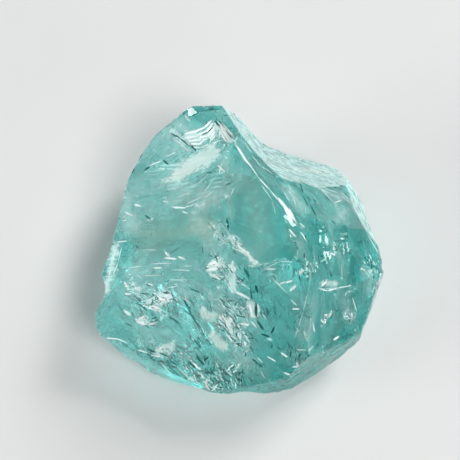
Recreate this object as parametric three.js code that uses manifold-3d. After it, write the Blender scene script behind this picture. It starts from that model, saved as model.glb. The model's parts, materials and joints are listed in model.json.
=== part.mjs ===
// A rough chunk of andara glass: one clear aqua piece, broken on every side.
//
// The chunk starts as a square block of glass. Each fracture then breaks one flake away and leaves
// a shell-like face behind: a shallow bowl or dome with a slow wobble. Where two faces meet, they
// leave a sharp ridge. Small chips then roughen the faces that broke last.
// All sizes are in millimetres and all angles in degrees. +Z is up, and the origin is on the
// surface that the chunk rests on, under the middle of its box.
import * as THREE from "three";
import { mergeVertices } from "three/addons/utils/BufferGeometryUtils.js";
import Module from "manifold-3d";

const wasm = await Module();
wasm.setup();

const BLOCK_WIDTH = 40;
const BLOCK_HEIGHT = 22;
const FLAKE_THICKNESS = 30;
const FLAKE_REACH = 24;
const CELL = 1.6;
const WOBBLE_LENGTH = 13;
const WOBBLE_HEIGHT = 0.18;

// A short fracture, which reaches less far than a flake, is thinner and has a finer surface.
const SHORT_CELL = 0.9;
const SHORT_THICKNESS = 5;

// Chips are long shallow gouges, spread over a face like the seeds of a sunflower.
const CHIP_REACH = 5;
const CHIP_LENGTHWISE_BOWL = 13;
const CHIP_CROSSWISE_BOWL = 3;
const CHIP_DEPTH = 0.42;
const CHIP_TILT = 10;
const CHIP_STRAY = 24;
const GOLDEN_ANGLE = 137.5;

// The middle of the finished chunk's box, which is moved over the origin.
const MIDDLE = new THREE.Vector2(0.27, -0.25);

// Each fracture: a point that the new face runs through, and where the face looks: turn is
// anticlockwise from +X and lift is up from level. bowl is the radius of the hollow, or of a dome
// if it is negative. reach is the face's half width. A fracture with a second face, and, takes
// only the glass that lies outside both, so the two faces meet in a notch. chips is how many chips
// roughen the face, spread is how far they go from its middle, and grain is how they run, from
// the level line along the face.
const fractures = [
  // the upper faces, which meet along the crest and fall away from it
  { name: "centre", through: [1.0, 1.5, 17.0], turn: 176, lift: 75, bowl: 38 },
  { name: "right shoulder", through: [6.4, 3.0, 14.9], turn: 40, lift: 45, bowl: 200 },
  {
    name: "east top", through: [11.2, -3.4, 13.6], turn: 6, lift: 46, bowl: 60,
    chips: 5, spread: 5, grain: 10,
  },
  {
    name: "lower right", through: [10.0, -9.5, 11.5], turn: -42, lift: 33, bowl: 50,
    chips: 4, spread: 4, grain: 70,
  },
  {
    name: "south top", through: [2.4, -11.0, 12.4], turn: -97, lift: 40, bowl: 60,
    chips: 12, spread: 6.5, grain: -70,
  },
  {
    name: "south west top", through: [-7.6, -8.8, 10.6], turn: -118, lift: 48, bowl: 60,
    chips: 16, spread: 8, grain: -28,
  },
  { name: "west top", through: [-7.4, 1.0, 12.0], turn: 178, lift: 58, bowl: 60 },
  { name: "north west top", through: [-6.6, 8.4, 12.7], turn: 172, lift: 56, bowl: 60 },
  { name: "apex scoop", through: [-3.7, 13.6, 12.6], turn: 62, lift: 76, bowl: 6.5, reach: 5 },
  { name: "crest start", through: [-1.3, 9.6, 16.4], turn: 30, lift: 66, bowl: 8, reach: 3 },
  { name: "crest end", through: [5.5, -1.4, 18.3], turn: 30, lift: 66, bowl: 8, reach: 3 },
  // the steep pale ledge behind the crest, whose two faces meet in a notch
  {
    name: "north east ledge", through: [4.3, 9.2, 8.6], turn: 42, lift: 25, bowl: 36,
    and: { name: "north ledge", through: [4.4, 9.5, 8.8], turn: 60, lift: 35, bowl: 36 },
  },
  { name: "east ledge", through: [14.6, 3.8, 6.9], turn: 25, lift: 25, bowl: 60 },
  // the sides
  { name: "north side", through: [-3.7, 15.6, 10.0], turn: 96, lift: 12, bowl: -60 },
  { name: "north west side", through: [-7.3, 14.2, 9.5], turn: 124, lift: 8, bowl: -80 },
  { name: "upper west side", through: [-10.7, 11.2, 9.0], turn: 148, lift: 8, bowl: -80 },
  { name: "west side", through: [-14.0, 2.4, 7.5], turn: 166, lift: 8, bowl: Infinity },
  { name: "west notch", through: [-14.5, -5.7, 6.5], turn: 185, lift: 5, bowl: 2.5, reach: 3.2 },
  { name: "west corner", through: [-16.5, -8.7, 5.0], turn: 177, lift: 8, bowl: Infinity },
  { name: "south west side", through: [-9.4, -13.9, 4.0], turn: -115, lift: 5, bowl: -180 },
  { name: "south end", through: [1.5, -16.5, 4.5], turn: -83, lift: 4, bowl: -60 },
  { name: "south east side", through: [9.4, -13.6, 5.5], turn: -57, lift: 6, bowl: -70 },
  { name: "lower east side", through: [14.9, -8.0, 6.5], turn: -27, lift: 8, bowl: -90 },
  { name: "east side", through: [16.6, -2.0, 7.0], turn: 3, lift: 8, bowl: -60 },
  { name: "east foot", through: [15.6, 4.2, 4.0], turn: 12, lift: 8, bowl: Infinity },
  { name: "north east foot", through: [14.0, 8.4, 3.0], turn: 36, lift: 8, bowl: -60 },
  { name: "north foot", through: [7.3, 13.6, 3.0], turn: 62, lift: 8, bowl: -200 },
  // the underside
  {
    name: "south west under", through: [-10.6, -10.9, 0.8], turn: -134, lift: -56, bowl: 34,
    chips: 5, spread: 5, grain: 20,
  },
  { name: "west under", through: [-12.6, -1.6, 3.0], turn: 184, lift: -31, bowl: 40 },
  { name: "north west under", through: [-8.0, 8.8, 3.0], turn: 131, lift: -58, bowl: 44 },
  { name: "north under", through: [0.0, 12.2, 2.8], turn: 80, lift: -42, bowl: 60 },
  {
    name: "north east under", through: [10.3, 8.9, 1.0], turn: 42, lift: -63, bowl: 50,
    chips: 4, spread: 4, grain: 60,
  },
  { name: "east under", through: [13.4, -3.5, 2.6], turn: -6, lift: -34, bowl: 45 },
  { name: "south east under", through: [8.6, -9.6, 1.0], turn: -52, lift: -60, bowl: 38 },
  {
    name: "south under", through: [-1.0, -15.2, 2.0], turn: -98, lift: -30, bowl: 45,
    chips: 5, spread: 5, grain: 80,
  },
  { name: "north east hollow", through: [6.6, 5.0, 0.9], turn: 30, lift: -86, bowl: 20, reach: 9 },
  { name: "south west hollow", through: [-6.0, -6.6, 0.8], turn: 200, lift: -84, bowl: 18, reach: 8 },
];
const REST = { name: "rest", through: [0, 0, 0], turn: 0, lift: -90, bowl: Infinity, wobble: 0 };

// The face's own axes: u runs level along it, v up it and w out of it.
function axesOf({ through, turn, lift }) {
  const [t, l] = [turn, lift].map(THREE.MathUtils.degToRad);
  const w = new THREE.Vector3(Math.cos(l) * Math.cos(t), Math.cos(l) * Math.sin(t), Math.sin(l));
  const u = new THREE.Vector3(-Math.sin(t), Math.cos(t), 0);
  const v = new THREE.Vector3().crossVectors(w, u);
  return new THREE.Matrix4().makeBasis(u, v, w).setPosition(...through);
}

// How far the broken face stands out at a place on it.
function relief({ bowl, wobble = WOBBLE_HEIGHT }, u, v, phase) {
  const k = (2 * Math.PI) / WOBBLE_LENGTH;
  const along = Math.sin(k * u + phase);
  const up = Math.sin(0.8 * k * v + 2 * phase);
  const across = Math.sin(0.6 * k * (u - v) + 3 * phase);
  return (u * u + v * v) / (2 * bowl) + (wobble / 2) * (along + up + across);
}

function solidOf(geometry) {
  geometry.deleteAttribute("normal");
  geometry.deleteAttribute("uv");
  const merged = mergeVertices(geometry);
  return new wasm.Manifold(
    new wasm.Mesh({
      numProp: 3,
      vertProperties: new Float32Array(merged.attributes.position.array),
      triVerts: new Uint32Array(merged.index.array),
    }),
  );
}

// A slab whose inner side has the shape that height gives, set where the matrix says.
function slab(reach, cell, thickness, height, matrix) {
  const cells = Math.round((2 * reach) / cell);
  const box = new THREE.BoxGeometry(2 * reach, 2 * reach, thickness, cells, cells, 1);
  box.translate(0, 0, thickness / 2);
  const place = box.attributes.position;
  for (let i = 0; i < place.count; i++) {
    if (place.getZ(i) === 0) place.setZ(i, height(place.getX(i), place.getY(i)));
  }
  return solidOf(box.applyMatrix4(matrix));
}

// The flake that a fracture takes away.
function flake(fracture, phase) {
  const { reach = FLAKE_REACH } = fracture;
  const isShort = reach < FLAKE_REACH;
  const cell = isShort ? SHORT_CELL : CELL;
  const thickness = isShort ? SHORT_THICKNESS : FLAKE_THICKNESS;
  const height = (u, v) => relief(fracture, u, v, phase);
  const taken = slab(reach, cell, thickness, height, axesOf(fracture));
  return fracture.and ? taken.intersect(flake(fracture.and, phase)) : taken;
}

// One of a face's chips: a long gouge sunk into the face and tilted, so that it leaves low ledges.
function chip(face, phase, index) {
  const turn = THREE.MathUtils.degToRad(GOLDEN_ANGLE * index);
  const radius = face.spread * Math.sqrt((index + 0.5) / face.chips);
  const [u, v] = [radius * Math.cos(turn), radius * Math.sin(turn)];
  const depth = CHIP_DEPTH * (1 + 0.5 * Math.sin(5 * index));
  const grain = THREE.MathUtils.degToRad(face.grain + CHIP_STRAY * Math.sin(4 * index));
  const tilt = THREE.MathUtils.degToRad(CHIP_TILT);
  const matrix = axesOf(face)
    .multiply(new THREE.Matrix4().makeTranslation(u, v, relief(face, u, v, phase) - depth))
    .multiply(new THREE.Matrix4().makeRotationZ(grain))
    .multiply(new THREE.Matrix4().makeRotationX(tilt * Math.sin(2 * index)))
    .multiply(new THREE.Matrix4().makeRotationY((tilt / 2) * Math.cos(3 * index)));
  const height = (x, y) => (x * x) / (2 * CHIP_LENGTHWISE_BOWL) + (y * y) / (2 * CHIP_CROSSWISE_BOWL);
  return slab(CHIP_REACH, SHORT_CELL, SHORT_THICKNESS, height, matrix);
}

const block = new THREE.BoxGeometry(BLOCK_WIDTH, BLOCK_WIDTH, BLOCK_HEIGHT);
let glass = solidOf(block.translate(0, 0, BLOCK_HEIGHT / 2 - 1));
fractures.forEach((fracture, phase) => {
  glass = glass.subtract(flake(fracture, phase));
});
fractures.forEach((face, phase) => {
  for (let index = 0; index < (face.chips ?? 0); index++) {
    glass = glass.subtract(chip(face, phase, index));
  }
});
glass = glass.subtract(flake(REST, 0));

const { vertProperties, triVerts } = glass.getMesh();
const geometry = new THREE.BufferGeometry()
  .setAttribute("position", new THREE.BufferAttribute(vertProperties, 3))
  .setIndex(new THREE.BufferAttribute(triVerts, 1))
  .translate(-MIDDLE.x, -MIDDLE.y, 0);

const clearAqua = new THREE.MeshStandardMaterial({ color: 0x7cc4be, roughness: 0.05, metalness: 0 });
const chunk = new THREE.Mesh(geometry, clearAqua);
chunk.name = "andara_chunk";

const group = new THREE.Group();
group.add(chunk);
export default group;
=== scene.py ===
"""A rough chunk of clear aqua andara glass, lying on a pale floor.

The chunk starts as a block of glass, in millimetres. Each fracture breaks one flake away and leaves a
shell-like face: a shallow bowl with a slow wobble, roughened by long flake scars, rings or hackle. Long
chips then break out of the faces that were struck hardest, the sharp ridges lose small nicks, and small
open cracks run through the rough places, some with walls painted white as highlights and glints, the others
painted dark as shade. Every face keeps the way that its grain runs, how rough it is, and how much of it is
crushed white, which is partly painted light. Marks add bruises that are partly painted light, and tones of
painted light and shade, and both they and the longer cracks are placed by spots of the camera's view, in
pixels. Ridges are painted light as highlights and creases painted dark as shade. The glass reads its finest
relief and its colour from all of these.
The finished chunk is brought to metres and takes the place of the plain solid, andara_chunk.
"""

import json
import logging
import math
from collections.abc import Callable
from dataclasses import dataclass
from enum import Enum
from itertools import chain, pairwise

import bmesh
import bpy
import numpy as np
from mathutils import Matrix, Vector
from mathutils.bvhtree import BVHTree

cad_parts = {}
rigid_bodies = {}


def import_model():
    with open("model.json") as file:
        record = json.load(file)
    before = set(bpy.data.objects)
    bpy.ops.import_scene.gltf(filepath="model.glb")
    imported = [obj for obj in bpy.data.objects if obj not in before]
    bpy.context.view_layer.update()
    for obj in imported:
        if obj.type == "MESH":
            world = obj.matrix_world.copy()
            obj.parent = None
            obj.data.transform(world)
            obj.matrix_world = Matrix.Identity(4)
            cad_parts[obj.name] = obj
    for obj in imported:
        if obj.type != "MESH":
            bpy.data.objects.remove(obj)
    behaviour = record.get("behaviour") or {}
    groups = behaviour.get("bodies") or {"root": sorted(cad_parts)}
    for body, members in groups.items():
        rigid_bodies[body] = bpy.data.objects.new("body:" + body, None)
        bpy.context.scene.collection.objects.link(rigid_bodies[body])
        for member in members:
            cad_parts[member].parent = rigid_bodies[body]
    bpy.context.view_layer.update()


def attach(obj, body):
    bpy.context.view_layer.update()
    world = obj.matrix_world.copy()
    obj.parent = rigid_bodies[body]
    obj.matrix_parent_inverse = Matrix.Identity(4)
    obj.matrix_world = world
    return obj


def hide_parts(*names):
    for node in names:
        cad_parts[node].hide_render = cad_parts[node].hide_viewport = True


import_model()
NODE = "andara_chunk"
MM = 0.001
MIDDLE = (0.27, -0.25)
SHORT_REACH = 6

log = logging.getLogger("andara")
Height = Callable[[np.ndarray, np.ndarray], np.ndarray]
Point = tuple[float, float, float]
Colour = tuple[float, float, float, float]
Spot = tuple[float, float]
Edge = tuple[float, float]


@dataclass(frozen=True)
class Finish:
    """How a broken face of the glass is finished, each from 0 to 1 unless it says otherwise.

    Args:
        hackle: How strong the fine strokes are.
        ripple: How strong the fine ripples are.
        bruise_light_and_shade: How much of the face is crushed white, partly painted light, where 2 is
        all of it painted white as a highlight and -1 is painted dark as shade.
        rough: How dull it is.
    """

    hackle: float = 0
    ripple: float = 0
    bruise_light_and_shade: float = 0
    rough: float = 0.01


@dataclass(frozen=True)
class Breakage:
    """How the glass broke at a face. Lengths are in millimetres.

    Args:
        pitch: How far apart the flake scars lie.
        length: Half the length of a scar, along the grain.
        width: Half its width.
        depth: How deep it is.
        cuts: How many cuts divide the face, twice over.
        splits: How many small open cracks are strewn over it.
        finish: How it is finished.
    """

    pitch: float
    length: float
    width: float
    depth: float
    cuts: int
    splits: int
    finish: Finish


class Break(Enum):
    """The ways in which the glass broke."""

    CLEAN = Breakage(5, 6, 2.5, 0.05, 8, 4, Finish(0.05, 0.2, rough=0.05))
    RIPPLED = Breakage(1.5, 3, 0.55, 0.08, 9, 24, Finish(0.13, 0.5))
    RINGED = Breakage(9, 1, 1, 0, 12, 0, Finish(0.02))
    HACKLED = Breakage(0.75, 1.5, 0.4, 0.22, 10, 185, Finish(1, 0.3, 0.1))
    # The ledge's white finish is partly painted light: the pale reflection that the ledge shows.
    LEDGE = Breakage(1.4, 4, 0.5, 0.08, 8, 8, Finish(0.2, 0.3, 0.6))
    UNDER = Breakage(1.6, 2.4, 0.7, 0.2, 7, 0, Finish(0.3, 0.6, 0.5, 0.3))


# Crack walls painted dark, as shade.
PAINTED_SHADE = Finish(bruise_light_and_shade=-1)


@dataclass(frozen=True)
class Fracture:
    """One break: where the new face lies, how it looks out, and how it is curved.

    Args:
        name: The face's name.
        through: A point that the face runs through, in millimetres.
        turn: Where the face looks, in degrees anticlockwise from +X.
        lift: How far it looks up from level, in degrees.
        bowl: The radius of the hollow, or of a dome if it is negative.
        how: How the glass broke.
        grain: How the scars, strokes and chips run, in degrees from the level line along the face.
        reach: The face's half width.
        wobble: The height of the slow waves.
        meets: A second face. Only the glass outside both is taken, so they meet in a notch.
        chips: How many chips roughen the face.
        spread: How far the chips go from its middle.
    """

    name: str
    through: Point
    turn: float
    lift: float
    bowl: float
    how: Break = Break.CLEAN
    grain: float = 0
    reach: float = 24
    wobble: float = 0.18
    meets: "Fracture | None" = None
    chips: int = 0
    spread: float = 0

    def axes(self) -> Matrix:
        """Gives the face's own axes: u level along it, v up it and w out of it.

        Returns:
            The axes, with their middle on the face.
        """
        turn, lift = math.radians(self.turn), math.radians(self.lift)
        w = Vector((math.cos(lift) * math.cos(turn), math.cos(lift) * math.sin(turn), math.sin(lift)))
        u = Vector((-math.sin(turn), math.cos(turn), 0))
        turned = Matrix((u, w.cross(u), w)).transposed().to_4x4()
        return Matrix.Translation(self.through) @ turned


CLEAN, RIPPLED, RINGED, HACKLED, LEDGE, UNDER = Break
NORTH_LEDGE = Fracture("north ledge", (4.4, 9.5, 8.8), 60, 35, 36, LEDGE, 10)
FRACTURES = (
    Fracture("centre", (1.0, 1.5, 17.0), 176, 75, 38, CLEAN, 60),
    Fracture("right shoulder", (6.4, 3.0, 14.9), 40, 45, 200, RIPPLED, 25),
    Fracture("east top", (11.2, -3.4, 13.6), 6, 46, 60, RIPPLED, 10, chips=5, spread=5),
    Fracture("lower right", (10.0, -9.5, 11.5), -42, 33, 50, RIPPLED, 70, chips=4, spread=4),
    Fracture("south top", (2.4, -11.0, 12.4), -97, 40, 60, HACKLED, -70, chips=12, spread=6.5),
    Fracture("south west top", (-7.6, -8.8, 10.6), -118, 48, 60, HACKLED, -28, chips=16, spread=8),
    Fracture("west top", (-7.4, 1.0, 12.0), 178, 58, 60, RIPPLED, 88),
    Fracture("north west top", (-6.6, 8.4, 12.7), 172, 56, 60, RIPPLED, 120),
    Fracture("apex scoop", (-3.7, 13.6, 12.6), 62, 76, 6.5, RINGED, reach=5),
    Fracture("crest start", (-1.3, 9.6, 16.4), 30, 66, 8, CLEAN, reach=3),
    Fracture("crest end", (5.5, -1.4, 18.3), 30, 66, 8, CLEAN, reach=3),
    Fracture("north east ledge", (4.3, 9.2, 8.6), 42, 25, 36, LEDGE, 10, meets=NORTH_LEDGE),
    Fracture("east ledge", (14.6, 3.8, 6.9), 25, 25, 60, LEDGE),
    Fracture("north side", (-3.7, 15.6, 10.0), 96, 12, -60, RIPPLED, 20),
    Fracture("north west side", (-7.3, 14.2, 9.5), 124, 8, -80, RIPPLED, 20),
    Fracture("upper west side", (-10.7, 11.2, 9.0), 148, 8, -80, RIPPLED, 20),
    Fracture("west side", (-14.0, 2.4, 7.5), 166, 8, math.inf, LEDGE, 80),
    Fracture("west notch", (-14.5, -5.7, 6.5), 185, 5, 2.5, LEDGE, 80, reach=3.2),
    Fracture("west corner", (-16.5, -8.7, 5.0), 177, 8, math.inf),
    Fracture("south west side", (-9.4, -13.9, 4.0), -115, 5, -180, RIPPLED, 12),
    Fracture("south end", (1.5, -16.5, 4.5), -83, 4, -60, RIPPLED, 12),
    Fracture("south east side", (9.4, -13.6, 5.5), -57, 6, -70, RIPPLED, 12),
    Fracture("lower east side", (14.9, -8.0, 6.5), -27, 8, -90, RIPPLED, 60),
    Fracture("east side", (16.6, -2.0, 7.0), 3, 8, -60, HACKLED, 70),
    Fracture("east foot", (15.6, 4.2, 4.0), 12, 8, math.inf),
    Fracture("north east foot", (14.0, 8.4, 3.0), 36, 8, -60),
    Fracture("north foot", (7.3, 13.6, 3.0), 62, 8, -200),
    Fracture("south west under", (-10.6, -10.9, 0.8), -134, -56, 34, UNDER, 20, chips=5, spread=5),
    Fracture("west under", (-12.6, -1.6, 3.0), 184, -31, 40, UNDER, 70),
    Fracture("north west under", (-8.0, 8.8, 3.0), 131, -58, 44, UNDER, 40),
    Fracture("north under", (0.0, 12.2, 2.8), 80, -42, 60, UNDER, 80),
    Fracture("north east under", (10.3, 8.9, 1.0), 42, -63, 50, UNDER, 60, chips=4, spread=4),
    Fracture("east under", (13.4, -3.5, 2.6), -6, -34, 45, UNDER, 30),
    Fracture("south east under", (8.6, -9.6, 1.0), -52, -60, 38, UNDER, -30),
    Fracture("south under", (-1.0, -15.2, 2.0), -98, -30, 45, UNDER, 80, chips=5, spread=5),
    Fracture("north east hollow", (6.6, 5.0, 0.9), 30, -86, 20, UNDER, 15, reach=9),
    Fracture("south west hollow", (-6.0, -6.6, 0.8), 200, -84, 18, UNDER, -50, reach=8),
    Fracture("crest line", (2.3, 3.9, 17.31), 58, 72, 60, CLEAN, reach=9, wobble=0.1),
)
REST = Fracture("rest", (0, 0, 0), 0, -90, math.inf, wobble=0)


@dataclass(frozen=True)
class Mark:
    """A place where the glass looks different, along a line between two spots of the camera's view.

    Args:
        start: The spot where the line starts.
        end: The spot where it ends.
        width: How far the mark goes from the line, in millimetres.
        bruise_light_and_shade: How white it is crushed, from 0 to 1, partly painted light: highlights along
            the crest and scoop, and the floor's reflection in the frosted band.
        glint: How strongly it is painted with glints: clusters of small open cracks, some with walls painted
            white as highlights and the rest painted dark as shade, and white flecks.
        crack: How many dark lines it has, painted as shade.
        olive_shade: How olive it looks, painted shade: the shaded floor seen through the glass.
        deep: How deep its aqua is, painted shade that darkens the glass.
        pale: How pale and milky it looks, partly painted light that brightens the glass.
        calm: How smooth it is, with few small open cracks.
    """

    start: Spot
    end: Spot
    width: float
    bruise_light_and_shade: float = 0
    glint: float = 0
    crack: float = 0
    olive_shade: float = 0
    deep: float = 0
    pale: float = 0
    calm: float = 0

    def share(self, places: np.ndarray, start: Vector, end: Vector) -> np.ndarray:
        """Gives how much of the mark each place has.

        Args:
            places: The places, one a row.
            start: Where the line starts on the chunk.
            end: Where it ends.

        Returns:
            1 along the line, falling to 0 at the mark's edge.
        """
        run = np.array(end - start)
        length = max(float(run @ run), 1e-9)
        along = np.clip((places - np.array(start)) @ run / length, 0, 1)
        distance = np.linalg.norm(places - np.array(start) - along[:, None] * run, axis=1)
        return np.clip(1 - distance / self.width, 0, 1)


def toned(tone: str, *places: tuple[Spot, Spot, float, float]) -> tuple[Mark, ...]:
    """Returns marks of one tone, from the start, end, width and strength of each."""
    return tuple(Mark(start, end, width, **{tone: strength}) for start, end, width, strength in places)


# Bruises, partly painted light: highlights along the crest and scoop, and the floor's reflection in the
# frosted band.
BRUISES_AND_HIGHLIGHTS = (
    Mark((210, 153), (200, 160), 2.2, bruise_light_and_shade=0.9, olive_shade=0.3, pale=1, calm=1.4),
    Mark((200, 160), (186, 169), 1.9, bruise_light_and_shade=1, olive_shade=0.3, pale=0.9, calm=1.4),
    Mark((192, 167), (177, 175), 1.9, bruise_light_and_shade=0.9, olive_shade=0.5, pale=0.7, calm=1.4),
    Mark((178, 174), (165, 182), 1.2, bruise_light_and_shade=0.5, olive_shade=0.6, pale=0.8),
    Mark((212, 148), (206, 164), 1.3, bruise_light_and_shade=0.9), Mark((187, 136), (203, 137), 1.4, bruise_light_and_shade=1, pale=0.8),
    Mark((203, 137), (216, 128), 1.2, bruise_light_and_shade=1, pale=0.8),
    Mark((172, 122), (183, 127), 1.2, pale=0.9, bruise_light_and_shade=0.3), Mark((172, 130), (184, 142), 0.7, bruise_light_and_shade=0.8),
    Mark((196, 207), (205, 203), 1.2, pale=1, bruise_light_and_shade=0.4, olive_shade=0.2),
    Mark((218, 124), (232, 142), 0.7, bruise_light_and_shade=1.2, pale=1),
    Mark((192, 214), (200, 220), 1.2, bruise_light_and_shade=0.3, pale=0.8),
    Mark((234, 243), (255, 262), 0.9, bruise_light_and_shade=0.4, pale=0.7), Mark((243, 250), (257, 264), 0.35, bruise_light_and_shade=1),
    Mark((290, 192), (300, 206), 1.6, pale=1, bruise_light_and_shade=0.3),
    Mark((344, 210), (336, 222), 0.9, pale=0.9, bruise_light_and_shade=0.2),
    Mark((322, 283), (335, 285), 0.9, bruise_light_and_shade=0.7, olive_shade=0.4),
    Mark((116, 245), (106, 292), 1.2, bruise_light_and_shade=0.7, pale=0.9), Mark((250, 303), (254, 315), 0.8, bruise_light_and_shade=1.1),
    Mark((204, 312), (212, 317), 1.0, bruise_light_and_shade=0.8, olive_shade=0.4, pale=0.4),
    Mark((213, 336), (221, 346), 1.1, bruise_light_and_shade=0.8, olive_shade=0.5, pale=0.6),
    Mark((160, 352), (170, 347), 1.1, bruise_light_and_shade=0.8, olive_shade=0.3),
)
# Tones of painted shade (deep, olive, dark lines) and painted light (pale), with calm places.
MIXED_LIGHT_AND_SHADE_TONES = (
    Mark((190, 120), (212, 116), 1.6, deep=1.3, calm=2),
    Mark((216, 110), (230, 122), 1.4, deep=0.7, calm=2),
    Mark((206, 214), (213, 212), 0.9, deep=1.2, calm=1),
    Mark((226, 196), (240, 176), 1.4, pale=0.5, olive_shade=0.2),
    Mark((220, 195), (196, 212), 1.7, pale=1, olive_shade=0.4),
    Mark((148, 232), (204, 230), 3.4, olive_shade=1.1, calm=0.9),
    Mark((208, 196), (168, 203), 1.2, pale=0.8, olive_shade=0.4),
    Mark((226, 165), (230, 215), 1.3, olive_shade=0.6, pale=0.3),
    Mark((262, 158), (325, 172), 1.2, olive_shade=0.5, deep=0.3),
    Mark((338, 176), (362, 215), 0.9, olive_shade=0.4, deep=0.3),
    Mark((322, 240), (334, 262), 2.4, deep=1.2, calm=0.5),
    Mark((112, 344), (150, 363), 2.6, deep=1.1, pale=0.3),
    Mark((155, 366), (200, 384), 4, deep=2, pale=0.3, crack=0.4),
    Mark((316, 205), (322, 230), 1.6, deep=0.8, crack=0.5),
    Mark((262, 335), (300, 335), 3.0, deep=0.15, calm=1.2),
    Mark((268, 278), (296, 300), 3.2, calm=1, pale=0.3),
    Mark((185, 275), (225, 288), 2.4, calm=1, pale=0.4),
    Mark((312, 305), (306, 335), 1.6, pale=0.4, olive_shade=0.4),
    Mark((300, 360), (330, 360), 2.4, olive_shade=0.5, deep=0.4),
    Mark((219, 312), (217, 330), 0.9, deep=0.4, olive_shade=0.5),
    Mark((102, 312), (112, 332), 3.0, pale=0.3, calm=2),
    Mark((114, 352), (140, 362), 1.4, deep=0.8, pale=0.6),
    Mark((140, 362), (200, 390), 1.4, deep=1.2, pale=0.8),
    Mark((183, 358), (192, 368), 1.4, crack=1.5, olive_shade=0.4),
)
# Pale tones, milky and partly painted light that brightens the glass.
PALE_LIGHT_TONES = toned(
    "pale", ((168, 128), (164, 142), 1.0, 0.6), ((200, 186), (140, 205), 2.2, 0.5),
    ((150, 270), (200, 284), 1.8, 0.7), ((170, 338), (190, 352), 2.2, 0.6),
    ((232, 345), (246, 360), 1.6, 0.7), ((200, 224), (218, 240), 2.0, 0.6),
    ((215, 165), (205, 190), 2.0, 0.4), ((150, 208), (200, 205), 1.8, 0.5),
    ((128, 208), (165, 214), 1.4, 0.4), ((140, 262), (205, 268), 2.6, 0.7), ((130, 272), (150, 270), 1.6, 1),
    ((135, 190), (165, 185), 2.6, 0.5), ((330, 225), (340, 262), 2.4, 0.3),
    ((366, 272), (370, 290), 1.0, 0.8), ((175, 190), (215, 195), 3.0, 1), ((124, 200), (128, 225), 2.4, 1),
    ((130, 290), (190, 292), 3.0, 0.9), ((196, 148), (170, 150), 2.2, 0.7),
    ((216, 240), (228, 265), 2.4, 0.8), ((218, 133), (222, 160), 1.6, 0.8),
    ((150, 310), (222, 325), 5.5, 0.5), ((118, 290), (160, 345), 4.0, 0.5),
    ((336, 205), (345, 220), 0.9, 0.7), ((322, 190), (340, 198), 0.8, 0.9),
    ((340, 295), (345, 305), 1.2, 0.5), ((116, 262), (114, 285), 1.0, 0.8),
    ((150, 332), (168, 332), 1.6, 0.7),
)
# Deep aqua tones, painted shade that darkens the glass.
DEEP_SHADE_TONES = toned(
    "deep", ((160, 150), (180, 160), 1.6, 0.5), ((135, 170), (165, 172), 2.0, 0.5),
    ((262, 240), (300, 240), 1.2, 0.4), ((358, 250), (366, 275), 2.0, 0.5),
    ((302, 196), (335, 235), 6.0, 1.7), ((300, 250), (335, 262), 6.0, 1.8),
    ((325, 305), (340, 335), 5.5, 1.2), ((262, 300), (290, 335), 4.0, 0.1),
    ((285, 262), (300, 262), 3.0, 1.2), ((245, 165), (285, 245), 6.0, 0.5),
    ((310, 200), (350, 215), 2.4, 0.7), ((300, 184), (344, 212), 3.0, 1.3),
    ((284, 274), (314, 280), 2.4, 0.7), ((292, 380), (322, 366), 6, 2), ((328, 362), (352, 340), 6, 2),
    ((235, 388), (285, 383), 5, 0.15), ((372, 300), (378, 262), 1.6, 0.7),
    ((290, 365), (330, 352), 2.2, 0.5), ((355, 255), (352, 330), 2.4, 0.9),
    ((325, 335), (345, 325), 2.0, 0.8),
)
# Olive tones, painted shade: the shaded floor seen through the glass.
OLIVE_SHADE_TONES = toned(
    "olive_shade", ((252, 185), (262, 245), 3.2, 0.8), ((290, 235), (300, 245), 2.0, 0.7),
    ((235, 362), (265, 372), 2.2, 0.5),
)
CALM_PLACES = toned(
    "calm", ((255, 350), (285, 380), 3.4, 1.3), ((215, 350), (228, 356), 1.6, 1.2),
    ((140, 333), (175, 333), 2.0, 1.2),
)
# Dark lines, painted as shade.
CRACK_SHADE_PLACES = toned(
    "crack", ((136, 246), (200, 243), 1.1, 0.3), ((165, 360), (180, 374), 1.6, 0.6),
)
# Painted glints: clusters of white-walled cracks and white flecks that stand in for highlights.
GLINTS = (
    Mark((210, 250), (230, 285), 2.0, pale=0.8, glint=0.2),
    Mark((214, 226), (234, 246), 1.6, bruise_light_and_shade=0.5, pale=0.7, glint=0.3),
    Mark((346, 312), (352, 318), 0.9, pale=0.8, glint=0.6),
    Mark((222, 300), (240, 318), 3.4, pale=1.1, glint=0.25),
    Mark((212, 266), (219, 264), 1.2, bruise_light_and_shade=1, glint=1.4),
    Mark((211, 274), (219, 277), 0.8, bruise_light_and_shade=0.4, glint=1),
    Mark((232, 268), (233, 290), 0.8, bruise_light_and_shade=0.8, glint=0.5), Mark((128, 285), (150, 300), 1.5, glint=0.7),
    Mark((150, 301), (168, 296), 1.2, bruise_light_and_shade=0.8, glint=1.2),
    Mark((152, 308), (158, 310), 0.6, bruise_light_and_shade=1.3, glint=1),
    Mark((138, 321), (156, 323), 0.8, glint=1.2, bruise_light_and_shade=0.5),
    Mark((225, 302), (238, 310), 1.6, pale=0.8, glint=0.4),
    Mark((228, 322), (244, 342), 1.8, glint=1.3, bruise_light_and_shade=0.3, pale=0.8),
    Mark((193, 370), (216, 384), 1.9, crack=1.6, glint=0.6, olive_shade=0.3),
    Mark((205, 375), (225, 385), 1.8, crack=0.8, glint=0.5), Mark((228, 372), (245, 370), 1.0, glint=0.5),
    Mark((322, 322), (332, 313), 0.9, glint=1.2), Mark((368, 262), (378, 285), 1.5, glint=1, bruise_light_and_shade=0.4),
    Mark((304, 270), (338, 250), 1.0, glint=0.5),
)
MARKS = BRUISES_AND_HIGHLIGHTS + MIXED_LIGHT_AND_SHADE_TONES + PALE_LIGHT_TONES + DEEP_SHADE_TONES + OLIVE_SHADE_TONES + CALM_PLACES + CRACK_SHADE_PLACES + GLINTS


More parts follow.
